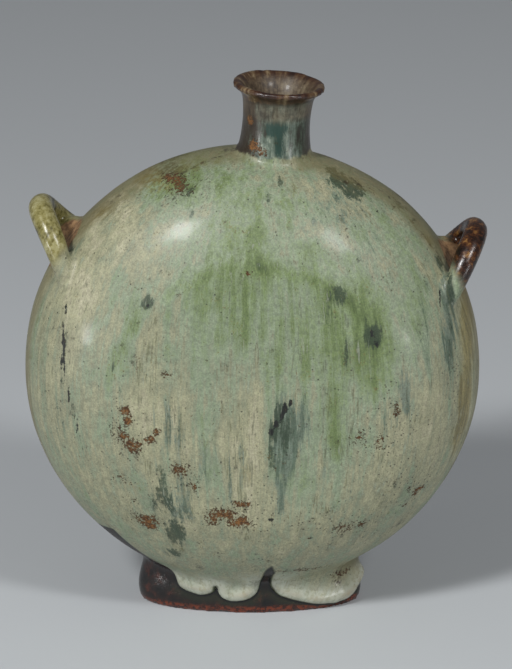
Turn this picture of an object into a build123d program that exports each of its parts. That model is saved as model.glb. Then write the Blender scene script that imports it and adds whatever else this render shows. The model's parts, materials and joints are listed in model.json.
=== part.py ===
from build123d import *
from math import acos, cos, degrees, radians, sin, sqrt, tan
import os

# A glazed stoneware pilgrim flask: two thrown dishes joined lip to lip, a thrown neck,
# an oval foot, two rolled loops for a carrying cord and the thick run of glaze on the foot.
# Millimetres and degrees, +Z up. The front faces -Y, and +X is to the right of the front.
# The origin is on the table, under the middle of the flask.

# Body: two equal dishes on one axis, which runs from front to back
body_radius = 100.0
body_x = -1.6
body_bottom = 10.0
wall = 5.5
rim_bend = 43.0
rim_turn = 52.0
shoulder_bend = 80.0
panel_radius = 60.0
crease_bend = 16.0
panel_slope = 4.0

# Coil of clay smoothed over the join inside the body
seam_coil_width = 13.0
seam_coil_depth = 3.0

# Neck, thrown apart and set a little right of the middle, leaning right
neck_x = 8.0
neck_lean = 4.0
neck_height = 29.8
neck_radius = 14.7
neck_foot_radius = 15.8
neck_top_radius = 15.4
neck_waist_height = 10.0
neck_top_height = 22.5
bore_radius = 10.8
bore_length = 16.0
lip_radius = 19.9
lip_roll = 1.6
lip_turn = 50.0
pierced_hole_clearance = 1.2
pierced_hole_taper = 6.0
neck_fillet = 4.0

# Foot: an oval ring that swells above the table and is waisted under the body
foot_x = -2.7
foot_half_width = 49.8
foot_half_depth = 21.2
foot_swell_height = 6.5
foot_tuck = 1.2
foot_waist = 2.5
foot_waist_height = 19.0
foot_wall = 7.0
foot_fillet = 7.0

# Loops for the cord: rolled strands bent over the rim, thickest at the crown
strand_radius = 5.2
strand_end_radius = 2.0
loop_spread = 16.5
loop_tail = 5.0
loop_root = 2.6
loop_rise = 58.5
knee_share = 0.42
taper_power = 4
taper_share = 0.15
left_loop_angle = 35.0
left_loop_reach = 19.8
left_front_drop = 6.7
left_back_lift = 3.5
right_loop_angle = 28.5
right_loop_reach = 18.2
right_front_drop = 6.0
right_back_lift = 2.5

# Run of thick glaze over the foot. Its edge hangs in lobes, seen from the front: each lobe's two
# ends and its lowest point, across as a share of the foot's half width, and up
glaze_thickness = 1.7
glaze_gap_top = 20.0
glaze_lobes = [
    ((-0.743, 20.0), (-0.582, 10.0), (-0.341, 12.0)),
    ((-0.341, 12.0), (-0.141, 7.0), (0.080, 8.5)),
    ((0.191, 9.5), (0.522, 4.6), (0.783, 4.2)),
]

os.makedirs("parts", exist_ok=True)
body_z = body_bottom + body_radius


def write(name, solid):
    """Writes one sub-part under its name."""
    export_step(solid, f"parts/{name}.step")


# Body ---------------------------------------------------------------------------------


def bend_end(start, radius, turn_from, turn_to):
    """Where an arc ends that starts at (across, deep) and swings its normal between two angles."""
    return (
        start[0] + radius * (cos(radians(turn_to)) - cos(radians(turn_from))),
        start[1] + radius * (sin(radians(turn_to)) - sin(radians(turn_from))),
    )


def dish_bends():
    """The outline's tangent arcs from lip to middle: each one's radius and its normal's last angle."""
    rim_end = bend_end((body_radius, 0), rim_bend, 0, rim_turn)
    shoulder_reach = (rim_end[0] - panel_radius) / shoulder_bend
    shoulder_turn = degrees(acos(cos(radians(rim_turn)) - shoulder_reach))
    shoulder_end = bend_end(rim_end, shoulder_bend, rim_turn, shoulder_turn)
    panel_turn = 90 - panel_slope
    crease_end = bend_end(shoulder_end, crease_bend, shoulder_turn, panel_turn)
    panel_bend = crease_end[0] / cos(radians(panel_turn))
    return [
        (rim_bend, rim_turn),
        (shoulder_bend, shoulder_turn),
        (crease_bend, panel_turn),
        (panel_bend, 90),
    ]


def dish_arcs(inset):
    """Start, middle and end of each arc of a dish's outline that lies inset from its outside."""
    start = (body_radius - inset, 0)
    turn = 0
    arcs = []
    for radius, turn_to in dish_bends():
        middle = bend_end(start, radius - inset, turn, (turn + turn_to) / 2)
        end = bend_end(start, radius - inset, turn, turn_to)
        arcs.append((start, middle, end))
        start, turn = end, turn_to
    return arcs


def dish_blank(inset):
    """A solid dish whose flat side is at y = 0 and whose middle bulges to -Y."""
    arcs = dish_arcs(inset)
    lip = (arcs[0][0][0], 0)
    crown = (0, -arcs[-1][2][1])
    outline = [ThreePointArc(*[(across, -deep) for across, deep in arc]) for arc in arcs]
    outline += [Line(crown, (0, 0)), Line((0, 0), lip)]
    return Pos(body_x, 0, body_z) * revolve(make_face(outline), Axis.Y, 360)


front_blank = dish_blank(0)
front_hollow = dish_blank(wall)
back_blank = mirror(front_blank, Plane.XZ)
back_hollow = mirror(front_hollow, Plane.XZ)
body_blank = front_blank + back_blank
body_hollow = front_hollow + back_hollow


def rim_drop(y):
    """How far the outside has fallen below the rim's full radius at a distance y from the join."""
    return rim_bend - sqrt(rim_bend**2 - y**2)


def seam_coil():
    """A flattened coil inside the rim, its inner face an arc."""
    bed = body_radius - wall + seam_coil_depth
    face = make_face(
        [
            ThreePointArc(
                (bed - seam_coil_depth, -seam_coil_width / 2),
                (bed - 2 * seam_coil_depth, 0),
                (bed - seam_coil_depth, seam_coil_width / 2),
            ),
            Polyline(
                (bed - seam_coil_depth, seam_coil_width / 2),
                (bed, seam_coil_width / 2),
                (bed, -seam_coil_width / 2),
                (bed - seam_coil_depth, -seam_coil_width / 2),
            ),
        ]
    )
    ring = Pos(body_x, 0, body_z) * revolve(face, Axis.Y, 360)
    return ring & body_hollow


# Neck ---------------------------------------------------------------------------------

neck_place = Pos(neck_x, 0, body_z + body_radius) * Rot(0, neck_lean, 0)
neck_root = neck_foot_radius


def neck_outside():
    """The neck's outer edges from its root to its lip, in the plane of radius and height."""
    waist = ThreePointArc(
        (neck_foot_radius, 0),
        (neck_radius, neck_waist_height),
        (neck_top_radius, neck_top_height),
    )
    return [Line((neck_foot_radius, -neck_root), (neck_foot_radius, 0)), waist]


def neck_tube():
    """The neck about its own upright axis: waisted outside, with a rolled lip, open right through."""
    root, waist = neck_outside()
    roll_x = lip_radius - lip_roll
    roll_z = neck_height - lip_roll
    lean_x = lip_roll * sin(radians(lip_turn))
    lean_z = lip_roll * cos(radians(lip_turn))
    under_lip = (roll_x + lean_x, roll_z - lean_z)
    lip_edge = (roll_x + lean_z, roll_z + lean_x)
    over_lip = (roll_x - lean_x, roll_z + lean_z)
    mouth_foot = (bore_radius, bore_length)
    mouth_hollow = TangentArc(mouth_foot, over_lip, tangent=(0, 1))
    outline = [
        Line((bore_radius, -neck_root), root @ 0),
        root,
        waist,
        TangentArc(waist @ 1, under_lip, tangent=waist % 1),
        ThreePointArc(under_lip, lip_edge, over_lip),
        mouth_hollow,
        Line(mouth_foot, (bore_radius, -neck_root)),
    ]
    return revolve(Plane.XZ * make_face(outline), Axis.Z, 360)


def neck_plug():
    """The neck without its bore, up to the top of its waist."""
    root, waist = neck_outside()
    outline = [
        Line((0, -neck_root), root @ 0),
        root,
        waist,
        Line(waist @ 1, (0, neck_top_height)),
        Line((0, neck_top_height), (0, -neck_root)),
    ]
    return neck_place * revolve(Plane.XZ * make_face(outline), Axis.Z, 360)


def smoothed(joined, radius, low, high):
    """Joined solids with the corner between them smoothed over, between two heights."""
    corners = [
        edge
        for edge in joined.edges().filter_by(GeomType.BSPLINE)
        if low < edge.center().Z < high
    ]
    return joined.fillet(radius, corners)


neck = neck_place * neck_tube() - body_blank
body_with_neck = body_blank + neck_plug()
body_top = body_z + 2 * body_radius
neck_clay = smoothed(body_with_neck, neck_fillet, body_z, body_top) - body_with_neck


def pierced_hole_cutter():
    """The hole cut through both dishes under the neck, tapered by the knife to widen inwards."""
    hole_radius = bore_radius + pierced_hole_clearance
    reach = 2 * neck_root
    flare = reach * tan(radians(pierced_hole_taper))
    return neck_place * Cone(hole_radius + flare, hole_radius - flare, 2 * reach)


pierced_hole = pierced_hole_cutter()

# Foot ---------------------------------------------------------------------------------


def oval(height, grow):
    """The foot's plan at a height, grown or shrunk from its widest."""
    return Pos(foot_x, 0, height) * Ellipse(foot_half_width + grow, foot_half_depth + grow)


foot_top = body_bottom + foot_waist_height + foot_fillet


def foot_oval_loft(grow):
    """The foot's outside as a solid, grown by a coat."""
    return loft(
        [
            oval(0, grow - foot_tuck),
            oval(foot_swell_height, grow),
            oval(foot_waist_height, grow - foot_waist),
            oval(foot_top, grow - foot_waist),
        ]
    )


foot_blank = foot_oval_loft(0)
foot_recess = loft([oval(0, -foot_wall), oval(foot_top, -foot_wall - foot_waist)])
foot_ring = foot_blank - foot_recess - body_blank
body_with_foot = body_blank + foot_blank
smoothed_foot = smoothed(body_with_foot, foot_fillet, body_bottom, foot_top)
foot_clay = smoothed_foot - body_with_foot

# Cord loops ---------------------------------------------------------------------------


def rim_point(angle, y, lift):
    """A point over the body's outside: at an angle up from its right, y from the join, lifted off."""
    reach = body_radius - rim_drop(y) + lift
    return Vector(body_x + reach * cos(radians(angle)), y, body_z + reach * sin(radians(angle)))


def cord_loop(angle, reach, front_drop, back_lift):
    """A strand on the right, arched over the rim from front to back at an angle round the rim."""
    anchor = rim_point(angle, 0, 0)
    rise = Vector(cos(radians(loop_rise)), 0, sin(radians(loop_rise)))
    knee = anchor + rise * (reach * knee_share)
    path = Spline(
        rim_point(angle - front_drop, -loop_spread - loop_tail, -loop_root),
        knee - Vector(0, loop_spread, 0),
        anchor + rise * reach,
        knee + Vector(0, loop_spread, 0),
        rim_point(angle + back_lift, loop_spread + loop_root, -loop_root),
    )
    across = Vector(0, 1, 0).cross(rise)
    sections = []
    for station in (0, taper_share, 0.5, 1 - taper_share, 1):
        fullness = 1 - abs(2 * station - 1) ** taper_power
        radius = strand_end_radius + (strand_radius - strand_end_radius) * fullness
        ring = Plane(path @ station, x_dir=across, z_dir=path % station)
        sections.append(ring * Circle(radius))
    return loft(sections) - body_blank


right_loop = cord_loop(right_loop_angle, right_loop_reach, right_front_drop, right_back_lift)
left_loop = mirror(
    cord_loop(left_loop_angle, left_loop_reach, left_front_drop, left_back_lift),
    Plane.YZ.offset(body_x),
)

# Run of glaze on the foot --------------------------------------------------------------


def lobe_point(point):
    """A point of the glaze's edge, seen from the front."""
    share, height = point
    return Vector(share * foot_half_width, height)


def glaze_run():
    """A coat on the foot that thins out on the foot clay above and ends in hanging lobes below."""
    coat = foot_oval_loft(glaze_thickness)
    edge = []
    for lobe in glaze_lobes:
        start, lowest, end = [lobe_point(point) for point in lobe]
        if edge and edge[-1] @ 1 != start:
            gap = Vector(((edge[-1] @ 1).X + start.X) / 2, glaze_gap_top)
            edge.append(ThreePointArc(edge[-1] @ 1, gap, start))
        edge.append(ThreePointArc(start, lowest, end))
    first, last = edge[0] @ 0, edge[-1] @ 1
    beyond = 2 * foot_half_width
    over = body_z
    edge.append(Polyline(last, (beyond, last.Y), (beyond, over), (first.X, over), first))
    window = Plane.XZ * make_face(edge)
    curtain = extrude(window, beyond, both=True)
    return (coat & curtain) - smoothed_foot


write("front_dish", front_blank - front_hollow - pierced_hole)
write("back_dish", back_blank - back_hollow - pierced_hole)
write("seam_coil", seam_coil() - pierced_hole)
write("neck", neck)
write("neck_clay", neck_clay)
write("foot_ring", foot_ring)
write("foot_clay", foot_clay)
write("left_loop", left_loop)
write("right_loop", right_loop)
write("glaze_run", glaze_run())
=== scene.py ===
import json
from math import acos, cos, degrees, pi, radians, sin

import bpy
import numpy as np
from mathutils import Matrix, Vector, noise
from mathutils.bvhtree import BVHTree

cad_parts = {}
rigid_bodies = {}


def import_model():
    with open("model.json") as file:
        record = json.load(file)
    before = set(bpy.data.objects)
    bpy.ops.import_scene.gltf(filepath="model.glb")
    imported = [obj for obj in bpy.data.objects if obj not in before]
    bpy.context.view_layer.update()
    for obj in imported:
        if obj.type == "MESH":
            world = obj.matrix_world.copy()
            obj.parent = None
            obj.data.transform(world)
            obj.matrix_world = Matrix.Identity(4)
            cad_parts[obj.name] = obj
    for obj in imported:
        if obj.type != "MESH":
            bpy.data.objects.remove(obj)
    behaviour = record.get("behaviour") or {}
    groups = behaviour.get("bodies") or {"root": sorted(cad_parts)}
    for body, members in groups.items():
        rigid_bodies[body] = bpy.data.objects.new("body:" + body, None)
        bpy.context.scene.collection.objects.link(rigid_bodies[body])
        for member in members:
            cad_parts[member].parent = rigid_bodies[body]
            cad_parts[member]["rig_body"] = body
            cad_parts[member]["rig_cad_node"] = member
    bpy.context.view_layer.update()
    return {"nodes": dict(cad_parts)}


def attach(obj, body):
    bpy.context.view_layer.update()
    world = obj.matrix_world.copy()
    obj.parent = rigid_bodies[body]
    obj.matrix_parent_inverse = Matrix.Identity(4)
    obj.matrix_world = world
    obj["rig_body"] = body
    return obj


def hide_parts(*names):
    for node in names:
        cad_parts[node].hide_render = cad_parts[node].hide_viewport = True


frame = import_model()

# Looks of the glazed pilgrim flask. Metres, in the frame of the CAD. The glaze is one skin over
# body, neck, loops and foot, as the kiln leaves it, and the thick run on the foot is laid over it.
mm = 0.001

# Body, as it is turned: tangent arcs from the rim to the middle of each face
body_centre = Vector((-1.6, 0, 110)) * mm
body_radius = 100 * mm
rim_bend, rim_turn = 43 * mm, 52
shoulder_bend = 80 * mm
panel_radius = 60 * mm
panel_shift = 2.4 * mm
crease_bend = 16 * mm
panel_slope = 4
wall = 5.5 * mm

# Neck and foot, where the skin is bored and where the thick glaze hangs
neck_seat = Vector((8, 0, 210)) * mm
neck_lean = 4
bore_radius = 10.8 * mm
neck_reach = 24 * mm
foot_centre = Vector((-2.7, 0, 0)) * mm
foot_half_width = 49 * mm
foot_half_depth = 20.4 * mm
left_loop_angle = 35
right_loop_angle = 28.5
skin_grain = 1.32 * mm
corner_softness = 5 * mm
foot_crease_softness = 12 * mm
foot_crease_top = 32 * mm
foot_crease_front = -12 * mm
swell_height, swell_width = 0.35 * mm, 34 * mm
lump_height, lump_width = 0.07 * mm, 9 * mm
pad_half_sizes = (5.5 * mm, 8 * mm, 10 * mm)
pad_sunk = 1.5 * mm
pad_back = 11

# Edge of the glaze round the foot, the same in front and behind, lobe by lobe from the foot's right
# end: the angle round the foot in degrees, and the height of the edge in mm
hung_lobes = [
    [
        (0, 9.2), (8, 8.6), (17.3, 6.7), (25.5, 4.0), (33.4, 2.7), (43.6, 2.3), (52.5, 3.0),
        (59.6, 4.0), (66.7, 5.9), (72.4, 7.6), (76.6, 9.8), (79.6, 13.2), (81.2, 18.5), (82.2, 25),
        (83.6, 29),
    ],
    [
        (83.6, 29), (85.0, 25), (85.1, 19), (85.2, 13.8), (86.5, 10.2), (89.4, 7.8), (93.5, 6.3),
        (99, 6.1), (103.2, 7.2), (106.0, 9.6), (107.0, 13.2),
    ],
    [
        (107.0, 13.2), (108.2, 10.4), (111.7, 8.8), (116.1, 8.4), (122.1, 9.4), (127.3, 10.6),
        (130.4, 13), (131.4, 18), (131.8, 26), (132.6, 34), (133.5, 43),
    ],
    [(133.5, 43), (150, 41), (165, 38), (180, 36)],
]
run_thickness = 1.7 * mm
run_roll = 2.6 * mm
run_bottom = 1.2 * mm
run_top = 25 * mm
run_fade = 13 * mm
run_sunk = 0.35 * mm
run_under = 0.04 * mm
run_backing = 1.2 * mm
run_hem = 3 * mm
run_lumps, run_lump_width = 0.15, 6 * mm
bead_height, bead_width = 0.45, 2.4 * mm
run_columns = 520
run_rows = 58

# The front panel's shift sets in this deep, and the resting edge is flat below this height
front_shift_from, front_shift_over = 30 * mm, 12 * mm
resting_below = 0.4 * mm

# Where the glaze changes: each pair of lengths is where a change begins and where it is complete
arch_half_sizes = np.array([15, 13, 15]) * mm
# The rim's olive: the glaze runs thinner there, and the olive also paints shade on the limb.
rim_reach = (86 * mm, 99 * mm)
rim_depth = (8 * mm, 26 * mm)
# The panel's crease: darker on its top arc, from glaze gathered there and from painted shade where
# the crease faces down.
panel_edge_radius, panel_edge_width = 61 * mm, 3.2 * mm
panel_edge_rise = (-10 * mm, 30 * mm)
panel_depth = (25 * mm, 32 * mm)
loop_reach = (99 * mm, 104 * mm)
loop_across = 45 * mm
neck_rise = (-4 * mm, 4 * mm)
lip_rise = (22 * mm, 26.5 * mm)
mouth_rise = (14 * mm, 18 * mm)
mouth_reach = (17.5 * mm, 13 * mm)
foot_zone = 60 * mm
far_margin = 40.0
inside_depth = (2 * mm, 3.5 * mm)
neck_core = 12.5 * mm

# The photograph's camera: its picture is 512 by 669
picture = (512, 669)
camera_place = Vector((0, -1744.5, 749)) * mm
camera_target = Vector((0, 0, 124.3)) * mm
lens = 227.1
film = 36


# Modelling ------------------------------------------------------------------------------


def alone(*pieces):
    """Selects these pieces and nothing else."""
    bpy.ops.object.select_all(action="DESELECT")
    for piece in pieces:
        piece.select_set(True)
    bpy.context.view_layer.objects.active = pieces[0]


def arc_end(start, radius, turn_from, turn_to):
    """Where an arc ends that starts at (across, deep) and swings its normal between two angles."""
    return (
        start[0] + radius * (cos(radians(turn_to)) - cos(radians(turn_from))),
        start[1] + radius * (sin(radians(turn_to)) - sin(radians(turn_from))),
    )


def dish_outline(inset, steps):
    """Points from the rim to the middle of a face, inset from the outside: (across, deep)."""
    rim_end = arc_end((body_radius, 0), rim_bend, 0, rim_turn)
    shoulder_turn = degrees(
        acos(cos(radians(rim_turn)) - (rim_end[0] - panel_radius) / shoulder_bend)
    )
    shoulder_end = arc_end(rim_end, shoulder_bend, rim_turn, shoulder_turn)
    panel_turn = 90 - panel_slope
    crease_end = arc_end(shoulder_end, crease_bend, shoulder_turn, panel_turn)
    panel_bend = crease_end[0] / cos(radians(panel_turn))
    bends = [(rim_bend, rim_turn), (shoulder_bend, shoulder_turn)]
    bends += [(crease_bend, panel_turn), (panel_bend, 90)]
    start, turn = (body_radius - inset, 0), 0
    points = [start]
    for radius, turn_to in bends:
        for step in range(1, steps + 1):
            here = turn + (turn_to - turn) * step / steps
            points.append(arc_end(start, radius - inset, turn, here))
        start, turn = points[-1], turn_to
    return points


def turned_disc(name, inset, steps, turns):
    """The body as a solid of revolution: half its section drawn point by point, then spun."""
    half = dish_outline(inset, steps)
    section = [(across, -deep) for across, deep in reversed(half)] + half[1:]
    bpy.ops.object.select_all(action="DESELECT")
    bpy.ops.mesh.primitive_plane_add(size=mm)
    disc = bpy.context.object
    disc.name = name
    bpy.ops.object.mode_set(mode="EDIT")
    bpy.ops.mesh.merge(type="CENTER")
    points = [body_centre + Vector((across, deep, 0)) for across, deep in section]
    bpy.ops.transform.translate(value=points[0])
    for here, there in zip(points, points[1:]):
        bpy.ops.mesh.extrude_region_move(TRANSFORM_OT_translate={"value": there - here})
    bpy.ops.mesh.select_all(action="SELECT")
    bpy.ops.mesh.spin(steps=turns, angle=2 * pi, center=body_centre, axis=(0, 1, 0))
    bpy.ops.mesh.select_all(action="SELECT")
    bpy.ops.mesh.remove_doubles(threshold=0.02 * mm)
    bpy.ops.mesh.normals_make_consistent(inside=False)
    bpy.ops.object.mode_set(mode="OBJECT")
    return disc


def clay_copy(name, *nodes):
    """A copy of CAD nodes to model on, with its doubled vertices merged."""
    alone(*[frame["nodes"][node] for node in nodes])
    bpy.ops.object.duplicate()
    bpy.ops.object.join()
    copy = bpy.context.object
    copy.name = name
    copy.parent = None
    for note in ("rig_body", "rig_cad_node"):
        if note in copy:
            del copy[note]
    copy.data.materials.clear()
    bpy.ops.object.mode_set(mode="EDIT")
    bpy.ops.mesh.select_all(action="SELECT")
    bpy.ops.mesh.remove_doubles(threshold=0.002 * mm)
    bpy.ops.object.mode_set(mode="OBJECT")
    return copy


def places(piece):
    """The piece's vertices as an array."""
    co = np.empty(len(piece.data.vertices) * 3)
    piece.data.vertices.foreach_get("co", co)
    return co.reshape(-1, 3)


def normals(piece):
    """The piece's vertex normals as an array."""
    piece.data.update()
    out = np.empty(len(piece.data.vertices) * 3)
    piece.data.vertex_normals.foreach_get("vector", out)
    return out.reshape(-1, 3)


def move(piece, co):
    """Puts the piece's vertices at new places."""
    piece.data.vertices.foreach_set("co", co.ravel())
    piece.data.update()


def rises(values, start, end):
    """Smoothly from 0 at the start to 1 at the end."""
    share = np.clip((values - start) / (end - start), 0, 1)
    return share * share * (3 - 2 * share)


def soften_corners(piece, passes=40, rate=0.6):
    """Fills hollow corners tighter than their softness, as a wet thumb and the glaze do."""
    edges = np.empty(len(piece.data.edges) * 2, int)
    piece.data.edges.foreach_get("vertices", edges)
    a, b = edges.reshape(-1, 2).T
    count = np.bincount(np.r_[a, b], minlength=len(piece.data.vertices))[:, None]
    co = places(piece)
    for _ in range(passes):
        around = np.zeros_like(co)
        for axis in range(3):
            around[:, axis] = np.bincount(a, co[b, axis], len(co)) + np.bincount(
                b, co[a, axis], len(co)
            )
        pull = around / count - co
        hollow = (pull * normals(piece)).sum(1)
        foot_crease = (co[:, 2] < foot_crease_top) & (co[:, 1] < foot_crease_front)
        softness = np.where(foot_crease, foot_crease_softness, corner_softness)
        tight = hollow > skin_grain**2 / (4 * softness)
        co[tight] += rate * pull[tight]
        move(piece, co)


def shape_relief(piece):
    """Slow swells of the thrown wall and small lumps of the glaze, and the front panel's shift."""
    co, out = places(piece), normals(piece)
    swell = np.array([noise.noise(Vector(p) / swell_width) for p in co])
    lump = np.array([noise.noise(Vector(p) / lump_width + Vector((7, 3, 1))) for p in co])
    co += out * (swell_height * swell + lump_height * lump)[:, None]
    faced = np.clip((-co[:, 1] - front_shift_from) / front_shift_over, 0, 1)
    co[:, 0] += panel_shift * faced
    resting = co[:, 2] < resting_below
    co[resting, 2] = 0
    move(piece, co)


def bore_out(skin):
    """Hollows the skin: the round cavity, and the bore up through the neck."""
    cavity = turned_disc("cavity", wall, 6, 96)
    lean = Matrix.Rotation(radians(neck_lean), 4, "Y")
    depth = 26 * mm
    bpy.ops.object.select_all(action="DESELECT")
    bpy.ops.mesh.primitive_cylinder_add(vertices=64, radius=bore_radius - 0.1 * mm, depth=depth)
    drill = bpy.context.object
    drill.data.transform(Matrix.Translation(neck_seat) @ lean @ Matrix.Translation((0, 0, -4 * mm)))
    for cutter in (cavity, drill):
        alone(skin)
        cut = skin.modifiers.new("hollow", "BOOLEAN")
        cut.operation, cut.solver, cut.object = "DIFFERENCE", "EXACT", cutter
        bpy.ops.object.modifier_apply(modifier=cut.name)
        bpy.data.objects.remove(cutter)


def on_rim(side, lift=0.0):
    """The middle of a loop's arch on the rim, on the left (-1) or right (1), lifted off it."""
    angle = radians(left_loop_angle if side < 0 else right_loop_angle)
    return body_centre + (body_radius + lift) * Vector((side * cos(angle), 0, sin(angle)))


def clay_pad(side):
    """The clay pressed into the back of a loop's arch: a ball flattened on the body's rim."""
    bpy.ops.object.select_all(action="DESELECT")
    bpy.ops.mesh.primitive_uv_sphere_add(segments=32, ring_count=20, radius=1)
    pad = bpy.context.object
    turn = Matrix.Rotation(radians(left_loop_angle if side < 0 else -right_loop_angle), 4, "Y")
    place = on_rim(side, -pad_sunk) + Vector((0, pad_back, 0)) * mm
    pad.data.transform(
        Matrix.Translation(place) @ turn @ Matrix.Diagonal((*pad_half_sizes, 1))
    )
    return pad


def glazed_skin():
    """Body, neck, loops and foot as one glazed form with soft corners."""
    skin = turned_disc("glazed_skin", 0, 14, 160)
    clay = clay_copy(
        "clay", "neck", "neck_clay", "left_loop", "right_loop", "foot_ring", "foot_clay"
    )
    pads = [clay_pad(-1), clay_pad(1)]
    alone(skin, clay, *pads)
    bpy.ops.object.join()
    grid = skin.modifiers.new("skin", "REMESH")
    grid.mode, grid.voxel_size, grid.adaptivity = "VOXEL", skin_grain, 0
    bpy.ops.object.modifier_apply(modifier=grid.name)
    soften_corners(skin)
    shape_relief(skin)
    return skin


# Thick glaze on the foot ----------------------------------------------------------------


def foot_angle(co):
    """The angle of points round the foot from its right end, in degrees, alike front and back."""
    across = (co[:, 0] - foot_centre.x) / foot_half_width
    return np.degrees(np.arctan2(np.abs(co[:, 1]) / foot_half_depth, across))


def along_foot(angle):
    """The way along the foot's oval from its right end to an angle."""
    fine = np.radians(np.linspace(0, 180, 721))
    step = np.hypot(foot_half_width * np.sin(fine), foot_half_depth * np.cos(fine))
    way = np.r_[0, np.cumsum((step[1:] + step[:-1]) / 2 * np.diff(fine))]
    return np.interp(angle, np.degrees(fine), way)


def smooth_through(points, steps=6):
    """A smooth curve through points, with the steps between each two."""
    p = np.array(points, float)
    p = np.r_[2 * p[:1] - p[1:2], p, 2 * p[-1:] - p[-2:-1]]
    share = np.linspace(0, 1, steps, endpoint=False)[:, None]
    curve = []
    for before, here, there, after in zip(p, p[1:], p[2:], p[3:]):
        bend = 2 * before - 5 * here + 4 * there - after
        twist = 3 * (here - there) + after - before
        curve.append(
            here + (there - before) * share / 2 + bend * share**2 / 2 + twist * share**3 / 2
        )
    return np.concatenate(curve + [p[-2:-1]])


def glaze_margin(co):
    """How far points lie above the glaze's edge round the foot, below it less than nothing."""
    edge = [smooth_through(lobe)[:-1] for lobe in hung_lobes] + [[hung_lobes[-1][-1]]]
    edge = np.concatenate(edge)
    edge = np.stack([along_foot(edge[:, 0]), edge[:, 1] * mm], 1)
    way = along_foot(foot_angle(co))
    wander = np.array([noise.noise(Vector((w / (4 * mm), 2.7, 0))) for w in way]) * 0.3 * mm
    here = np.stack([way, co[:, 2] + wander], 1)
    nearest = np.full(len(co), 1.0)
    above = np.zeros(len(co), bool)
    for a, b in zip(edge, edge[1:]):
        run, gap = b - a, here - a
        share = np.clip(gap @ run / (run @ run), 0, 1)
        nearest = np.minimum(nearest, np.hypot(*(gap - share[:, None] * run).T))
        crossed = (a[0] > here[:, 0]) != (b[0] > here[:, 0])
        rise = a[1] + (here[:, 0] - a[0]) * run[1] / (run[0] or 1)
        above ^= crossed & (here[:, 1] > rise)
    return np.where(above, nearest, -nearest)


def glaze_run(skin):
    """The thick glaze round the foot: a band laid on the skin, as thick as the glaze hung there."""
    bpy.ops.object.select_all(action="DESELECT")
    bpy.ops.mesh.primitive_circle_add(vertices=run_columns, radius=1)
    band = bpy.context.object
    band.name = "glaze_run"
    bpy.ops.object.mode_set(mode="EDIT")
    for _ in range(run_rows):
        bpy.ops.mesh.extrude_region_move(TRANSFORM_OT_translate={"value": (0, 0, 1)})
    bpy.ops.object.mode_set(mode="OBJECT")
    co = places(band)
    across, deep = co[:, 0] * foot_half_width, co[:, 1] * foot_half_depth
    height = run_bottom + co[:, 2] / run_rows * (run_top + run_hem - run_bottom)
    surface = BVHTree.FromObject(skin, bpy.context.evaluated_depsgraph_get())
    for i in range(len(co)):
        inward = Vector((-across[i], -deep[i], 0)).normalized()
        start = foot_centre + Vector((0, 0, height[i])) - inward * body_radius * 0.9
        hit, out, _, _ = surface.ray_cast(start, inward)
        co[i] = hit
    move(band, co)
    alone(band)
    bpy.ops.object.mode_set(mode="EDIT")
    bpy.ops.mesh.select_all(action="SELECT")
    bpy.ops.mesh.normals_make_consistent(inside=False)
    bpy.ops.object.mode_set(mode="OBJECT")
    out = normals(band)
    if (out[:, 1] * (co[:, 1] - foot_centre.y)).sum() < 0:
        band.data.flip_normals()
        out = normals(band)
    margin = glaze_margin(co)
    nose = np.clip(margin / run_roll, 0, 1)
    roll = np.sqrt(1 - (1 - nose) ** 2)
    fade = rises(run_top - co[:, 2], 0, run_fade)
    bead = 1 + bead_height * np.exp(-(((margin - 1.2 * run_roll) / bead_width) ** 2))
    lump = np.array([noise.noise(Vector(p) / run_lump_width) for p in co])
    thick = run_thickness * roll * fade * bead * (1 + run_lumps * lump)
    thick = np.where((margin > 0) & (fade > 0), thick, -run_sunk)
    co += out * (thick - run_under)[:, None]
    move(band, co)
    alone(band)
    back = band.modifiers.new("back", "SOLIDIFY")
    back.thickness, back.offset = run_backing, -1
    bpy.ops.object.modifier_apply(modifier=back.name)
    return band


# Marks in the glaze ---------------------------------------------------------------------


def camera_frame():
    """The camera's directions: right, up and forward."""
    forward = (camera_target - camera_place).normalized()
    right = forward.cross(Vector((0, 0, 1))).normalized()
    return right, right.cross(forward), forward


def point_on(surface, pixel):
    """Where a pixel of the photograph lies on a surface."""
    right, up, forward = camera_frame()
    across = (pixel[0] - picture[0] / 2) / picture[1] * film / lens
    rise = (picture[1] / 2 - pixel[1]) / picture[1] * film / lens
    way = (forward + right * across + up * rise).normalized()
    return surface.ray_cast(camera_place, way)[0]


def pixel_size(point):
    """How wide a pixel of the photograph is at a point."""
    return (point - camera_place).dot(camera_frame()[2]) * film / lens / picture[1]


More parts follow.
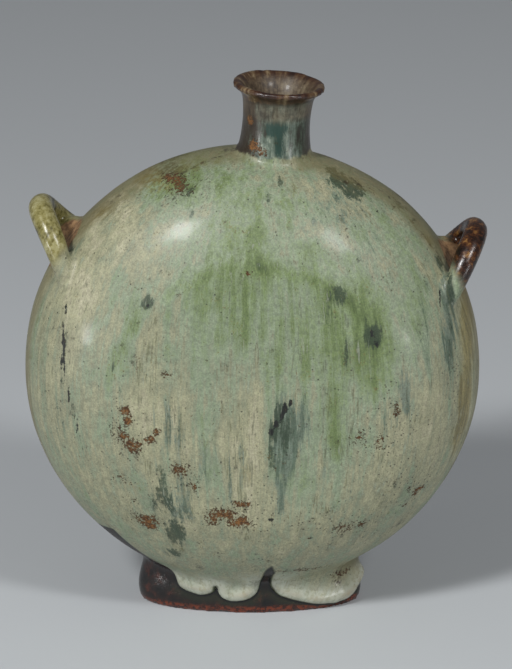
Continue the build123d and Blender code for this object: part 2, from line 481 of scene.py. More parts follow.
# Each mark: its middle and half its width and height in pixels of the photograph, and its strength
glaze_marks = {
    "green": [
        (172, 180, 34, 26, 0.95), (222, 180, 28, 30, 0.45), (150, 190, 14, 12, 0.6),
        (245, 290, 34, 62, 0.85), (250, 262, 30, 28, 0.5), (205, 300, 30, 40, 0.45),
        (300, 330, 34, 60, 0.7), (345, 335, 42, 52, 0.95), (365, 360, 26, 44, 0.6),
        (338, 420, 18, 62, 0.9), (300, 300, 26, 50, 0.6), (392, 225, 34, 34, 0.3),
        (420, 340, 20, 60, 0.25), (190, 365, 18, 40, 0.3), (118, 330, 14, 46, 0.22),
        (230, 400, 16, 60, 0.3), (395, 190, 24, 20, 0.3), (262, 205, 30, 26, 0.35),
        (300, 470, 26, 40, 0.35),
    ],
    "mint": [
        (275, 185, 60, 26, 0.9), (305, 240, 40, 34, 0.7), (185, 238, 34, 30, 0.6),
        (350, 240, 44, 30, 0.5), (215, 165, 40, 16, 0.6), (390, 300, 26, 60, 0.5),
        (95, 330, 40, 50, 0.35), (160, 330, 30, 40, 0.4), (335, 245, 16, 20, 0.7),
        (375, 430, 16, 70, 0.3),
    ],
    "beige": [
        (110, 230, 50, 46, 0.95), (75, 300, 34, 60, 0.7), (60, 400, 34, 60, 0.6),
        (180, 420, 50, 50, 0.55), (120, 470, 50, 40, 0.5), (230, 520, 60, 26, 0.7),
        (250, 445, 18, 60, 0.75), (420, 440, 40, 50, 0.55), (375, 470, 30, 50, 0.4),
        (340, 540, 60, 20, 0.6), (140, 210, 30, 20, 0.6), (305, 190, 14, 26, 0.4),
        (318, 430, 10, 60, 0.5),
    ],
    "blue": [
        (284, 440, 13, 44, 1.0), (280, 490, 9, 40, 0.6), (300, 430, 14, 36, 0.6),
        (405, 395, 6, 24, 0.9), (448, 330, 9, 46, 0.7), (447, 290, 7, 20, 0.8),
        (232, 470, 14, 40, 0.4), (170, 430, 16, 30, 0.45), (345, 205, 24, 34, 0.45),
        (320, 215, 18, 30, 0.35), (425, 325, 12, 50, 0.4), (372, 245, 20, 26, 0.3),
        (230, 440, 20, 30, 0.3), (392, 420, 14, 34, 0.45), (70, 250, 8, 12, 0.6),
        (200, 470, 16, 34, 0.3), (180, 505, 14, 34, 0.6), (330, 480, 18, 44, 0.25),
        (60, 420, 8, 40, 0.3),
    ],
    "teal": [
        (340, 180, 14, 11, 1.0), (353, 189, 16, 11, 0.9), (364, 172, 28, 8, 0.85),
        (384, 182, 16, 8, 0.8), (332, 170, 8, 7, 0.8), (373, 335, 9, 13, 1.0),
        (366, 322, 7, 10, 0.6), (346, 355, 3, 18, 0.7), (148, 303, 7, 8, 0.95),
        (276, 130, 12, 9, 0.9), (278, 148, 7, 14, 0.7), (338, 296, 9, 12, 0.8),
        (279, 414, 5, 13, 1.0), (273, 432, 5, 14, 0.9), (271, 458, 5, 24, 0.75),
        (284, 434, 9, 22, 0.6), (400, 205, 18, 8, 0.6), (416, 222, 12, 10, 0.5),
        (170, 170, 26, 7, 0.6), (186, 192, 16, 6, 0.5), (162, 500, 14, 24, 0.6),
        (330, 315, 6, 18, 0.45), (268, 200, 4, 14, 0.5), (280, 182, 3, 12, 0.6),
        (372, 330, 5, 12, 0.5), (190, 212, 5, 7, 0.6), (318, 240, 3, 5, 0.4), (394, 485, 5, 7, 0.5),
        (176, 532, 12, 20, 0.8), (160, 478, 10, 18, 0.5), (174, 552, 10, 10, 0.7),
        (84, 440, 3, 30, 0.42), (66, 340, 1.4, 30, 0.5), (61, 378, 2, 16, 0.6),
        (73, 408, 3, 14, 0.55), (440, 262, 7, 10, 0.7), (450, 290, 4, 18, 0.9),
        (450, 335, 3, 34, 0.4), (113, 368, 2, 7, 0.7), (118, 392, 6, 10, 0.4),
        (400, 250, 2, 18, 0.35), (412, 275, 1.6, 24, 0.3), (358, 262, 2, 26, 0.3),
        (356, 290, 3, 10, 0.4),
    ],
    "ink_and_crease_shade": [
        (372, 334, 4, 7, 0.66), (346, 182, 5, 3, 0.7), (357, 170, 8, 2.4, 0.7),
        (64, 350, 1.4, 34, 0.8), (69, 395, 1.6, 14, 0.7), (77, 425, 1.6, 14, 0.6),
        (86, 448, 1.6, 8, 0.6), (440, 300, 1.6, 16, 0.6), (285, 408, 2.6, 8, 1.0),
        (291, 403, 2, 5, 0.8), (276, 424, 2.6, 4, 1.0), (271, 432, 2.4, 5, 1.0),
        (281, 416, 2, 6, 0.8), (66, 308, 1.3, 6, 0.9), (63, 335, 1.1, 20, 0.8),
        (61, 362, 1.2, 14, 0.7), (148, 306, 2.4, 3, 0.7), (376, 344, 2.4, 5, 0.8),
        (272, 573, 4, 4, 1.0), (269, 580, 3, 7, 0.9), (378, 212, 1.6, 2, 0.8),
        (202, 163, 3, 1.4, 0.8), (310, 538, 4, 1.2, 0.8), (271, 520, 3, 3, 0.8),
        (272, 385, 1.4, 4, 0.6), (400, 505, 3, 1, 0.6), (400, 415, 2, 10, 0.5),
        # The last two marks on the next line are painted shade in the crease above the foot.
        (371, 430, 1.2, 3, 0.6), (262, 560, 20, 1.6, 0.5), (220, 553, 14, 1.6, 0.6),
    ],
    "rust": [
        (125, 410, 6, 5, 0.9), (128, 420, 4, 8, 0.9), (157, 432, 5, 4, 0.8), (150, 440, 7, 5, 0.8),
        (133, 446, 11, 9, 0.75), (124, 436, 6, 4, 0.9), (180, 470, 11, 9, 0.62),
        (194, 486, 6, 9, 0.58), (147, 520, 14, 7, 0.85), (150, 526, 8, 4, 0.95),
        (224, 514, 20, 8, 0.72), (240, 522, 14, 7, 0.8), (243, 504, 12, 4, 0.75),
        (212, 520, 10, 8, 0.6), (122, 478, 10, 8, 0.45), (118, 432, 12, 16, 0.42),
        (166, 375, 5, 5, 0.62), (248, 274, 4, 4, 0.66), (179, 294, 3, 3, 0.72),
        (250, 120, 4.5, 6, 1.0), (254, 146, 7, 8, 0.95), (262, 152, 6, 5, 0.8),
        (174, 179, 18, 4, 0.74), (180, 188, 14, 6, 0.62), (420, 488, 9, 3, 0.8),
        (414, 494, 5, 3, 0.7), (360, 438, 10, 10, 0.5), (380, 442, 8, 10, 0.5),
        (345, 528, 16, 8, 0.55), (362, 524, 8, 5, 0.6), (255, 580, 4, 8, 0.6),
        (275, 585, 4, 6, 0.8), (335, 580, 8, 6, 0.5), (150, 168, 5, 3, 0.5), (405, 505, 5, 4, 0.5),
        (409, 489, 3, 5, 0.6), (396, 410, 5, 12, 0.55), (130, 500, 10, 6, 0.35),
        (300, 570, 30, 4, 0.5), (340, 572, 14, 4, 0.6),
    ],
    "amber": [
        (467, 330, 9, 60, 0.85), (465, 400, 9, 44, 0.8), (456, 440, 9, 30, 0.6),
        (150, 178, 44, 12, 0.6), (100, 214, 14, 22, 0.5), (430, 240, 12, 16, 0.5),
        (118, 214, 8, 10, 0.4), (40, 330, 8, 50, 0.35), (150, 162, 40, 8, 0.4),
        (400, 200, 24, 14, 0.35), (448, 250, 8, 12, 0.7), (286, 150, 5, 14, 0.5),
        (293, 185, 8, 26, 0.35), (30, 400, 8, 60, 0.4), (245, 92, 8, 5, 0.8),
        (178, 548, 12, 12, 0.5), (62, 240, 6, 9, 0.9), (175, 400, 6, 16, 0.3),
        (255, 340, 12, 8, 0.2), (215, 440, 12, 14, 0.4), (400, 330, 8, 24, 0.2),
        (330, 400, 10, 30, 0.25), (135, 400, 8, 20, 0.3), (250, 475, 12, 22, 0.4),
        (100, 300, 20, 12, 0.2),
    ],
    "peppered": [
        (385, 440, 40, 64, 0.9), (412, 480, 34, 36, 0.9), (330, 525, 60, 22, 0.8),
        (245, 508, 44, 26, 0.8), (125, 430, 26, 50, 0.9), (178, 182, 46, 22, 0.9),
        (180, 475, 26, 34, 0.6), (355, 180, 40, 22, 0.7), (300, 575, 80, 12, 0.6),
        (378, 330, 26, 26, 0.5), (60, 410, 14, 50, 0.5), (455, 400, 16, 60, 0.7),
    ],
}


def brush_marks(piece, surface):
    """Lays each kind of mark on the piece, as strong as its strongest mark, in front and behind."""
    co = places(piece)
    co[:, 1] = -np.abs(co[:, 1])
    for kind, marks in glaze_marks.items():
        strength = np.zeros(len(co))
        for across, down, half_width, half_height, most in marks:
            middle = point_on(surface, (across, down))
            if middle is None:
                continue
            size = pixel_size(middle)
            gap = (co - np.array(middle)) / np.array(
                [half_width, max(half_width, half_height), half_height]
            )
            away = np.sqrt((gap**2).sum(1)) / size
            strength = np.maximum(strength, most * np.exp(-0.7 * away**2.4))
        note(piece, kind, strength)


def note(piece, name, values):
    """Keeps a number for each vertex of the piece, for its material."""
    kept = piece.data.attributes.new(name, "FLOAT", "POINT")
    kept.data.foreach_set("value", values.astype(np.float32))


def note_way(piece, name, way):
    """Keeps a place for each vertex of the piece, in mm, for the streaks of its material."""
    kept = piece.data.attributes.new(name, "FLOAT_VECTOR", "POINT")
    kept.data.foreach_set("vector", (way / mm).astype(np.float32).ravel())


def note_flow(piece):
    """Keeps the way the glaze ran, across it and slowly down it, on the body and round the neck."""
    co = places(piece)
    rise = np.clip((co[:, 2] - body_centre.z) / (1.25 * body_radius), -0.9, 0.9)
    across = (co[:, 0] - body_centre.x) / np.sqrt(1 - rise**2)
    note_way(piece, "flow", np.stack([across, co[:, 1], co[:, 2] * 0.1], 1))
    off = from_neck_axis(co)
    off /= np.hypot(*off.T)[:, None]
    note_way(piece, "round_neck", np.c_[off * 15 * mm, co[:, 2] * 0.12])


def from_neck_axis(co):
    """How far points lie from the neck's leaning axis: across and deep."""
    lean = np.tan(radians(neck_lean))
    return np.stack([co[:, 0] - neck_seat.x - lean * (co[:, 2] - neck_seat.z), co[:, 1]], 1)


def note_places(piece, surface):
    """Keeps how far each vertex lies on each part of the flask: loops, neck, rim, foot, inside."""
    co = places(piece)
    off = co - np.array(body_centre)
    reach = np.hypot(off[:, 0], off[:, 2])
    depth = np.abs(co[:, 1])
    up = co[:, 2] - neck_seat.z
    from_neck = np.hypot(*from_neck_axis(co).T)
    lug = rises(reach, *loop_reach) * ((off[:, 2] > 0) & (np.abs(off[:, 0]) > loop_across))
    note(piece, "left_lug", lug * (off[:, 0] < 0))
    note(piece, "right_lug", lug * (off[:, 0] > 0))
    near_neck = from_neck < neck_reach
    note(piece, "neck", rises(up, *neck_rise) * near_neck)
    note(piece, "lip", rises(up, *lip_rise) * near_neck)
    note(piece, "mouth", rises(from_neck, *mouth_reach) * rises(up, *mouth_rise))
    # Toward the rim: olive where the glaze runs thinner, which is also painted shade on the limb.
    note(piece, "rim", rises(reach, *rim_reach) * (1 - rises(depth, *rim_depth)))
    # The top arc of the panel's crease: glaze gathered there, and painted shade where the crease
    # faces down.
    edge = np.exp(-(((reach - panel_edge_radius) / panel_edge_width) ** 2))
    edge *= rises(off[:, 2], *panel_edge_rise)
    note(piece, "crease_pool_and_shade", edge * rises(depth, *panel_depth))
    note(piece, "under_left_arch", bare_arch(co, -1))
    note(piece, "under_right_arch", bare_arch(co, 1))
    margin = np.where(co[:, 2] < foot_zone, glaze_margin(co) / mm, far_margin)
    note(piece, "glaze_margin", margin)
    deep = np.array([surface.find_nearest(Vector(here))[3] for here in co])
    note(piece, "inside", rises(deep, *inside_depth) * (from_neck > neck_core))


def bare_arch(co, side):
    """Bare clay on the body under a loop's arch."""
    gap = (co - np.array(on_rim(side))) / arch_half_sizes
    return np.exp(-((gap**2).sum(1)) ** 1.5)


# Materials ------------------------------------------------------------------------------


def paint(red, green, blue):
    """A paint's colour from its red, green and blue, 0 to 255, as seen."""
    def linear(value):
        value /= 255
        return value / 12.92 if value <= 0.04045 else ((value + 0.055) / 1.055) ** 2.4

    return (linear(red), linear(green), linear(blue), 1)


pale_stoneware, dark_stoneware = paint(150, 122, 96), paint(104, 80, 60)


class Recipe:
    """A material built from nodes, each call one step of it."""

    def __init__(self, name):
        self.material = bpy.data.materials.new(name)
        self.material.use_nodes = True
        self.tree = self.material.node_tree
        self.shader = self.tree.nodes["Principled BSDF"]
        self.place = self.step("ShaderNodeTexCoord").outputs["Object"]

    def step(self, kind, **settings):
        made = self.tree.nodes.new(kind)
        for name, value in settings.items():
            setattr(made, name, value)
        return made

    def feed(self, socket, value):
        if isinstance(value, bpy.types.NodeSocket):
            self.tree.links.new(value, socket)
        else:
            socket.default_value = value

    def sum(self, operation, *values, clamp=False):
        made = self.step("ShaderNodeMath", operation=operation, use_clamp=clamp)
        for socket, value in zip(made.inputs, values):
            self.feed(socket, value)
        return made.outputs[0]

    def times(self, *values):
        result = values[0]
        for value in values[1:]:
            result = self.sum("MULTIPLY", result, value)
        return result

    def plus(self, first, second):
        return self.sum("ADD", first, second)

    def less(self, first, second):
        return self.sum("SUBTRACT", first, second)

    def most(self, first, second):
        return self.sum("MAXIMUM", first, second)

    def inverse(self, value):
        return self.sum("SUBTRACT", 1.0, value, clamp=True)

    def between(self, value, low, high, start=0.0, end=1.0):
        made = self.step("ShaderNodeMapRange", interpolation_type="SMOOTHSTEP", clamp=True)
        for socket, given in zip(made.inputs, (value, low, high, start, end)):
            self.feed(socket, given)
        return made.outputs[0]

    def kept(self, name):
        return self.step("ShaderNodeAttribute", attribute_name=name)

    def level(self, name):
        return self.kept(name).outputs["Fac"]

    def grain(self, size, along=None, detail=3.0, rough=0.5, stretch=(1, 1, 1), shift=0.0):
        """Noise whose lumps are about this size in mm, over the place or the way of the flow."""
        made = self.step("ShaderNodeTexNoise")
        source = self.place if along is None else along
        unit = 1000.0 if along is None else 1.0
        turn = self.step("ShaderNodeMapping")
        self.feed(turn.inputs["Vector"], source)
        turn.inputs["Location"].default_value = (shift, shift * 0.7, shift * 1.3)
        turn.inputs["Scale"].default_value = [unit * s / size for s in stretch]
        self.feed(made.inputs["Vector"], turn.outputs[0])
        made.inputs["Scale"].default_value = 1.0
        made.inputs["Detail"].default_value = detail
        made.inputs["Roughness"].default_value = rough
        return made.outputs[0]

    def specks(self, size, share, shift=0.0):
        """Sparse round specks about this far apart in mm, and the share of that width they fill."""
        turn = self.step("ShaderNodeMapping")
        self.feed(turn.inputs["Vector"], self.place)
        turn.inputs["Location"].default_value = (shift, shift * 0.6, shift * 1.7)
        turn.inputs["Scale"].default_value = (1000 / size,) * 3
        made = self.step("ShaderNodeTexVoronoi", feature="F1")
        made.inputs["Scale"].default_value = 1.0
        self.feed(made.inputs["Vector"], turn.outputs[0])
        return self.between(made.outputs["Distance"], share, share * 0.4)

    def lay(self, under, over, share):
        made = self.step("ShaderNodeMix", data_type="RGBA", blend_type="MIX", clamp_factor=True)
        self.feed(made.inputs[0], share)
        self.feed(made.inputs[6], under)
        self.feed(made.inputs[7], over)
        return made.outputs[2]

    def shade(self, under, share):
        """Darkens a colour where share falls below a half and lightens it where it rises above."""
        made = self.step("ShaderNodeMix", data_type="RGBA", blend_type="OVERLAY", clamp_factor=True)
        made.inputs[0].default_value = 1.0
        self.feed(made.inputs[6], under)
        grey = self.step("ShaderNodeCombineColor")
        for socket in grey.inputs[:3]:
            self.feed(socket, share)
        self.feed(made.inputs[7], grey.outputs[0])
        return made.outputs[2]

    def ramp(self, value, *stops):
        """A colour that runs through the stops, each a place from 0 to 1 and a paint."""
        made = self.step("ShaderNodeValToRGB")
        steps = made.color_ramp.elements
        for _ in stops[2:]:
            steps.new(0.5)
        for kept, (here, colour) in zip(steps, stops):
            kept.position, kept.color = here, colour
        self.feed(made.inputs[0], value)
        return made.outputs[0]

    def torn(self, mark, *breaks):
        """A mark with its edge torn by grains: each a grain and how far it pulls."""
        for grain, pull in breaks:
            mark = self.plus(mark, self.times(self.less(grain, 0.5), pull))
        return mark

    def finish(self, colour, roughness, height=None, height_mm=0.1, coat=0.0):
        self.feed(self.shader.inputs["Base Color"], colour)
        self.feed(self.shader.inputs["Roughness"], roughness)
        self.shader.inputs["IOR"].default_value = 1.5
        self.shader.inputs["Coat Weight"].default_value = coat
        self.shader.inputs["Coat Roughness"].default_value = 0.15
        if height is not None:
            bump = self.step("ShaderNodeBump")
            bump.inputs["Strength"].default_value = 1.0
            bump.inputs["Distance"].default_value = height_mm * mm
            self.feed(bump.inputs["Height"], height)
            self.feed(self.shader.inputs["Normal"], bump.outputs[0])
        return self.material


class OpalGlaze(Recipe):
    """Opal glaze over iron-brown clay: pale mint and grey beige, streaked green, blue and amber."""

    def __init__(self, name):
        super().__init__(name)
        flow = self.kept("flow").outputs["Vector"]
        self.cloud = self.grain(13, detail=4.0, rough=0.6, shift=3.1)
        self.wide_streak = self.grain(8.0, flow, detail=3.0, rough=0.5, shift=5.0)
        self.streak = self.grain(2.8, flow, detail=4.0, rough=0.62)
        self.fine_streak = self.grain(1.0, flow, detail=3.0, rough=0.65, shift=9.0)
        self.mottle = self.grain(2.0, detail=5.0, rough=0.7, shift=1.7)
        self.fine = self.grain(0.7, detail=2.0, rough=0.6, shift=2.3)
        colour = self.copper_ground()
        colour = self.dark_runs(colour)
        colour = self.threads_and_specks(colour)
        colour = self.thin_shaded_and_crawled(colour)
        colour = self.neck_and_lip(colour)
        colour = self.loops(colour)
        colour = self.iron_foot(colour)
        colour = self.bare_inside(colour)
        self.gloss(colour)

    def copper_ground(self):
        """The ground, from beige through mint to green where copper gathered in the streaks; darker
        green on the crease's top arc is partly painted shade.
        """
        copper = self.plus(self.times(self.level("green"), 0.42), 0.34)
        copper = self.plus(copper, self.times(self.level("mint"), 0.08))
        # Darker green on the top arc of the panel's crease: gathered glaze, and painted shade where
        # the crease faces down.
        copper = self.plus(copper, self.times(self.level("crease_pool_and_shade"), 0.16))
        copper = self.less(copper, self.times(self.level("beige"), 0.2))
        copper = self.torn(
            copper,
            (self.wide_streak, 0.75),
            (self.streak, 0.7),
            (self.fine_streak, 0.45),
            (self.cloud, 0.5),
            (self.mottle, 0.22),
        )
        colour = self.ramp(
            copper,
            (0.0, paint(168, 164, 138)),
            (0.18, paint(152, 151, 122)),
            (0.32, paint(137, 139, 114)),
            (0.44, paint(130, 142, 118)),
            (0.58, paint(120, 134, 101)),
            (0.72, paint(103, 119, 76)),
            (0.86, paint(85, 101, 58)),
            (1.0, paint(58, 74, 42)),
        )
        yellow = self.between(
            self.torn(
                self.level("amber"), (self.streak, 1.2), (self.cloud, 0.6), (self.fine_streak, 0.6)
            ),
            0.3,
            0.72,
        )
        colour = self.lay(
            colour,
            self.lay(paint(142, 130, 82), paint(104, 92, 46), self.between(self.streak, 0.42, 0.6)),
            self.times(yellow, 0.8),
        )
        return colour

    def dark_runs(self, colour):
        """Blue-grey runs, the darker teal that breaks through, and near-black marks, two of them
        painted shade in the crease above the foot.
        """
        blue = self.between(
            self.torn(
                self.level("blue"), (self.streak, 1.4), (self.mottle, 0.8), (self.fine_streak, 0.8)
            ),
            0.3,
            0.66,
        )
        blue_colour = self.lay(
            paint(101, 115, 102), paint(68, 85, 72), self.between(self.streak, 0.45, 0.6)
        )
        colour = self.lay(colour, blue_colour, self.times(blue, 0.85))
        self.teal = self.between(
            self.torn(
                self.level("teal"), (self.streak, 1.3), (self.mottle, 1.2), (self.fine_streak, 0.7)
            ),
            0.36,
            0.66,
        )
        colour = self.lay(colour, paint(42, 57, 40), self.times(self.teal, 0.86))
        # Near-black marks: glaze tears and cracks, and painted shade in the crease above the foot.
        ink_and_crease_shade = self.between(
            self.torn(self.level("ink_and_crease_shade"), (self.mottle, 1.2), (self.streak, 0.6)), 0.44, 0.58
        )
        colour = self.lay(colour, paint(16, 20, 16), ink_and_crease_shade)
        return colour

    def threads_and_specks(self, colour):
        """White threads, mottling and the clay's specks that show all over."""
        thread = self.between(self.torn(self.fine_streak, (self.streak, 0.8)), 0.62, 0.78)
        colour = self.lay(colour, paint(160, 166, 148), self.times(thread, 0.5))
        dark_thread = self.between(self.torn(self.fine_streak, (self.wide_streak, 0.6)), 0.4, 0.26)
        colour = self.lay(colour, paint(76, 82, 54), self.times(dark_thread, 0.6))
        colour = self.shade(colour, self.between(self.mottle, 0.3, 0.7, 0.38, 0.61))
        colour = self.shade(colour, self.between(self.fine, 0.3, 0.7, 0.42, 0.57))
        brown = self.between(
            self.torn(self.mottle, (self.fine, 0.7), (self.cloud, 0.5)), 0.66, 0.76
        )
        colour = self.lay(colour, paint(104, 86, 50), self.times(brown, 0.6))
        self.pepper = self.times(self.specks(3.4, 0.15), self.between(self.cloud, 0.42, 0.6))
        peppered = self.between(self.torn(self.level("peppered"), (self.cloud, 1.2)), 0.35, 0.7)
        self.pepper = self.most(
            self.pepper, self.times(self.specks(2.1, 0.24, shift=4.0), peppered)
        )
        colour = self.lay(colour, paint(40, 36, 22), self.times(self.pepper, 0.85))
        return colour

    def thin_shaded_and_crawled(self, colour):
        """Olive toward the rim, where the glaze runs thinner and which also paints shade on the
        limb, and rust with burnt edges where it crawled off.
        """
        # Olive toward the rim: thinner glaze, and painted shade on the limb.
        thin_glaze_and_limb_shade = self.between(
            self.torn(self.level("rim"), (self.cloud, 0.9), (self.streak, 0.7), (self.mottle, 0.5)),
            0.45,
            1.0,
        )
        colour = self.lay(colour, paint(104, 94, 56), self.times(thin_glaze_and_limb_shade, 0.6))
        grit = self.grain(1.1, detail=4.0, rough=0.75, shift=6.6)
        crawled = self.torn(self.level("rust"), (self.mottle, 1.4), (grit, 2.3))
        self.rust = self.between(crawled, 0.54, 0.62)
        self.rust_colour = self.lay(
            paint(132, 88, 40), paint(58, 36, 16), self.between(grit, 0.4, 0.62)
        )
        colour = self.lay(
            colour, paint(70, 62, 36), self.times(self.between(crawled, 0.42, 0.54), 0.75)
        )
        colour = self.lay(colour, self.rust_colour, self.times(self.rust, 0.95))
        return colour

    def neck_and_lip(self, colour):
        """Thinner, darker glaze that ran straight down the neck, and the lip worn to brown, with
        tan partly a painted highlight and a painted shadow under it.
        """
        round_neck = self.kept("round_neck").outputs["Vector"]
        side = self.step("ShaderNodeSeparateXYZ")
        self.feed(side.inputs[0], round_neck)
        neck_streak = self.grain(1.7, round_neck, detail=4.0, rough=0.65, shift=14.0)
        neck_cloud = self.grain(
            5.0, round_neck, detail=4.0, rough=0.6, shift=21.0, stretch=(1, 1, 3)
        )
        neck_colour = self.ramp(
            self.torn(0.5, (neck_streak, 1.2), (neck_cloud, 1.1), (self.mottle, 0.7)),
            (0.2, paint(36, 34, 22)),
            (0.36, paint(52, 60, 46)),
            (0.5, paint(76, 88, 76)),
            (0.64, paint(98, 110, 98)),
            (0.8, paint(144, 152, 136)),
        )
        brown_side = self.most(
            self.between(self.torn(side.outputs["X"], (neck_cloud, 14.0)), -6.0, -11.0),
            self.between(self.torn(side.outputs["X"], (neck_cloud, 14.0)), 10.0, 14.0),
        )
        neck_colour = self.lay(neck_colour, paint(46, 33, 22), self.times(brown_side, 0.9))
        neck_colour = self.lay(neck_colour, paint(28, 56, 48), self.times(self.teal, 0.9))
        neck_colour = self.lay(neck_colour, self.rust_colour, self.rust)
        colour = self.lay(
            colour,
            neck_colour,
            self.between(
                self.torn(self.level("neck"), (self.cloud, 1.0), (self.streak, 0.6)), 0.35, 0.6
            ),
        )
        # The lip's brown, whose tan flecks are partly a painted highlight on the glossy lip.
        lip_colour_and_highlight = self.ramp(
            self.torn(
                0.5, (self.grain(4.0, round_neck, detail=3.0, rough=0.6), 1.5), (self.mottle, 0.5)
            ),
            (0.3, paint(36, 18, 12)),
            (0.5, paint(62, 38, 24)),
            (0.64, paint(84, 64, 42)),
            (0.82, paint(140, 122, 94)),
        )
        lip = self.torn(self.level("lip"), (self.mottle, 0.9), (neck_streak, 0.7))
        # A dark band just under the lip: its brown underside, and painted shadow under the flare.
        colour = self.lay(colour, paint(30, 22, 16), self.times(self.between(lip, 0.05, 0.3), 0.7))
        colour = self.lay(colour, lip_colour_and_highlight, self.between(lip, 0.35, 0.6))
        mouth_colour = self.ramp(
            self.torn(0.5, (neck_streak, 0.7), (self.mottle, 0.8), (self.cloud, 0.6)),
            (0.3, paint(48, 36, 24)),
            (0.5, paint(86, 72, 54)),
            (0.75, paint(122, 110, 88)),
        )
        colour = self.lay(colour, mouth_colour, self.level("mouth"))
        return colour

    def loops(self, colour):
        """Olive yellow on the left loop, amber brown on the right, bare clay under their arches."""
        olive = self.ramp(
            self.torn(0.5, (self.cloud, 1.0), (self.streak, 0.9), (self.mottle, 0.9)),
            (0.25, paint(60, 56, 26)),
            (0.42, paint(106, 100, 56)),
            (0.58, paint(134, 127, 80)),
            (0.8, paint(160, 156, 116)),
        )
        colour = self.lay(colour, olive, self.level("left_lug"))
        amber = self.ramp(
            self.torn(
                0.5, (self.grain(4.5, detail=4.0, rough=0.6, shift=4.0), 1.5), (self.mottle, 0.9)
            ),
            (0.25, paint(18, 9, 6)),
            (0.45, paint(42, 22, 12)),
            (0.6, paint(76, 44, 20)),
            (0.8, paint(134, 98, 52)),
        )
        colour = self.lay(colour, amber, self.level("right_lug"))
        bare_clay = self.lay(
            paint(146, 114, 80), paint(100, 74, 50), self.between(self.mottle, 0.4, 0.62)
        )
        arches = self.most(self.level("under_left_arch"), self.level("under_right_arch"))
        self.bare = self.between(
            self.torn(arches, (self.cloud, 0.5), (self.mottle, 0.4)), 0.47, 0.63
        )
        colour = self.lay(colour, bare_clay, self.bare)
        return colour

    def iron_foot(self, colour):
        """Dark iron glaze below the opal glaze's edge, red brown where the foot rests, and a
        painted shadow line just under the edge.
        """
        margin = self.level("glaze_margin")
        height = self.step("ShaderNodeSeparateXYZ")
        self.feed(height.inputs[0], self.place)
        self.height_mm = self.times(height.outputs["Z"], 1000.0)
        iron = self.ramp(
            self.torn(
                0.45, (self.grain(5.0, detail=5.0, rough=0.65, shift=2.0), 1.4), (self.mottle, 0.6)
            ),
            (0.25, paint(10, 8, 8)),
            (0.5, paint(28, 18, 15)),
            (0.72, paint(64, 30, 20)),
        )
        iron = self.lay(
            iron,
            paint(34, 38, 24),
            self.times(
                self.between(margin, -6.0, -1.0), self.between(self.height_mm, 14.0, 9.0), 0.7
            ),
        )
        red = self.between(
            self.torn(self.height_mm, (self.cloud, 5.0), (self.mottle, 3.0)), 4.2, 2.2
        )
        iron = self.lay(
            iron,
            self.lay(paint(46, 20, 12), paint(112, 48, 22), self.between(self.mottle, 0.42, 0.6)),
            red,
        )
        # Near-black just under the glaze's edge: painted shadow beneath the rolled edge.
        iron = self.lay(iron, paint(7, 9, 7), self.between(margin, -1.5, -0.4))
        self.below = self.between(margin, 0.15, -0.15)
        colour = self.lay(colour, iron, self.below)
        self.hung = self.times(
            self.between(margin, 13.0, 2.5),
            self.between(margin, 0.1, 0.7),
            self.between(self.height_mm, 27.0, 15.0),
        )
        white = self.between(
            self.torn(0.5, (self.mottle, 1.2), (self.streak, 1.2)), 0.3, 0.6, 0.5, 0.95
        )
        colour = self.lay(colour, paint(176, 179, 163), self.times(self.hung, white))
        colour = self.lay(
            colour,
            paint(52, 58, 38),
            self.times(self.between(margin, 0.6, 0.0), self.inverse(self.below), 0.75),
        )
        return colour

    def bare_inside(self, colour):
        """The glaze stops inside the neck: the cavity is bare stoneware."""
        self.inside = self.level("inside")
        colour = self.lay(
            colour,
            self.lay(pale_stoneware, dark_stoneware, self.between(self.mottle, 0.4, 0.62)),
            self.inside,
        )
        return colour

    def gloss(self, colour):
        """Soft gloss on the opal glaze, wet on the foot, the loops and the hanging rolls."""
        rough = self.between(self.mottle, 0.3, 0.75, 0.46, 0.6)
        rough = self.less(
            rough, self.times(self.below, self.between(self.height_mm, 27.0, 20.0), 0.32)
        )
        rough = self.less(rough, self.times(self.hung, 0.3))
        rough = self.less(
            rough, self.times(self.most(self.level("right_lug"), self.level("left_lug")), 0.24)
        )
        rough = self.less(
            rough, self.times(self.level("neck"), self.inverse(self.level("mouth")), 0.18)
        )
        rough = self.sum(
            "MINIMUM",
            self.plus(
                rough,
                self.times(self.sum("ADD", self.rust, self.plus(self.bare, self.inside)), 0.4),
            ),
            0.9,
        )
        bump = self.plus(self.times(self.streak, 0.6), self.times(self.mottle, 0.55))
        bump = self.plus(bump, self.times(self.grain(5.0, detail=1.0, shift=17.0), 1.1))
        bump = self.plus(bump, self.times(self.fine, 0.14))
        bump = self.less(bump, self.times(self.rust, 1.1))
        bump = self.less(bump, self.times(self.pepper, 0.6))
        bump = self.less(bump, self.times(self.below, 4.0))
        self.finish(colour, rough, bump, height_mm=0.16, coat=0.1)


def inside_clay():
    """Unglazed stoneware inside the body."""
    r = Recipe("bare stoneware")
    speck = r.grain(1.6, detail=4.0, rough=0.7)
    colour = r.lay(pale_stoneware, dark_stoneware, r.between(speck, 0.4, 0.62))
    return r.finish(colour, r.between(speck, 0.3, 0.7, 0.75, 0.95), speck, height_mm=0.2)


def pale_floor():
    """The studio's plain pale floor."""
    r = Recipe("pale floor")
    return r.finish(paint(190, 194, 197), 0.75)


# The flask ------------------------------------------------------------------------------

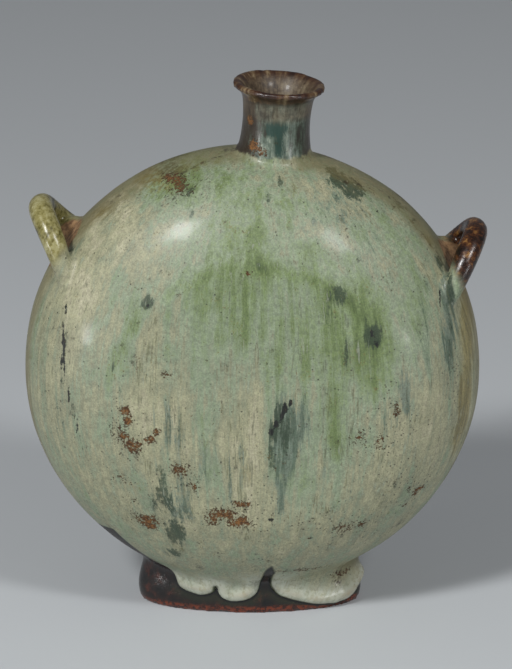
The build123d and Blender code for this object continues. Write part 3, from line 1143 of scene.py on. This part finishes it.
skin = glazed_skin()
run = glaze_run(skin)
surface = BVHTree.FromObject(skin, bpy.context.evaluated_depsgraph_get())
bore_out(skin)
for piece in (skin, run):
    brush_marks(piece, surface)
    note_flow(piece)
    note_places(piece, surface)
    alone(piece)
    bpy.ops.object.shade_smooth()
    piece.data.materials.clear()
    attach(piece, "root")
skin.data.materials.append(OpalGlaze("opal glaze over iron clay").material)
run.data.materials.append(OpalGlaze("thick opal glaze").material)
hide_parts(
    "front_dish",
    "back_dish",
    "neck",
    "neck_clay",
    "left_loop",
    "right_loop",
    "foot_ring",
    "foot_clay",
)
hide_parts("glaze_run")

coil = frame["nodes"]["seam_coil"]
coil.data.materials.clear()
coil.data.materials.append(inside_clay())

# Studio ---------------------------------------------------------------------------------


# Each lamp: its name, its turn from the front and its rise in degrees, its distance and size in
# metres, and its power in watts
lamps = [
    ("left_lamp", -36, 42, 2.2, 0.36, 34),
    ("right_lamp", 41, 41, 2.2, 0.36, 17.5),
    ("left_low_lamp", -56, -1, 1.6, 0.11, 3.8),
    ("right_low_lamp", 50, -1, 1.6, 0.11, 2.6),
]
lamp_target = Vector((0, 0, 120)) * mm
floor_width = 12
sky_colour, sky_strength = (0.8, 0.82, 0.85, 1), 0.17


def soft_lamp(name, turn, rise, distance, size, power):
    """A square soft lamp that faces the flask."""
    turn, rise = radians(turn), radians(rise)
    way = Vector((sin(turn) * cos(rise), -cos(turn) * cos(rise), sin(rise)))
    bpy.ops.object.light_add(type="AREA", location=lamp_target + distance * way)
    lamp = bpy.context.object
    lamp.name = name
    lamp.data.size = size
    lamp.data.energy = power
    lamp.rotation_euler = (-way).to_track_quat("-Z", "Y").to_euler()


bpy.ops.object.select_all(action="DESELECT")
bpy.ops.mesh.primitive_plane_add(size=floor_width)
floor = bpy.context.object
floor.name = "floor"
floor.data.materials.append(pale_floor())

for lamp in lamps:
    soft_lamp(*lamp)

world = bpy.data.worlds.new("studio")
bpy.context.scene.world = world
world.use_nodes = True
world.node_tree.nodes["Background"].inputs["Color"].default_value = sky_colour
world.node_tree.nodes["Background"].inputs["Strength"].default_value = sky_strength

bpy.ops.object.camera_add(location=camera_place)
camera = bpy.context.object
camera.name = "camera"
camera.rotation_euler = (camera_target - camera_place).to_track_quat("-Z", "Y").to_euler()
camera.data.lens = lens
camera.data.sensor_width = film
camera.data.clip_end = 50
bpy.context.scene.camera = camera
bpy.context.scene.view_settings.view_transform = "Standard"
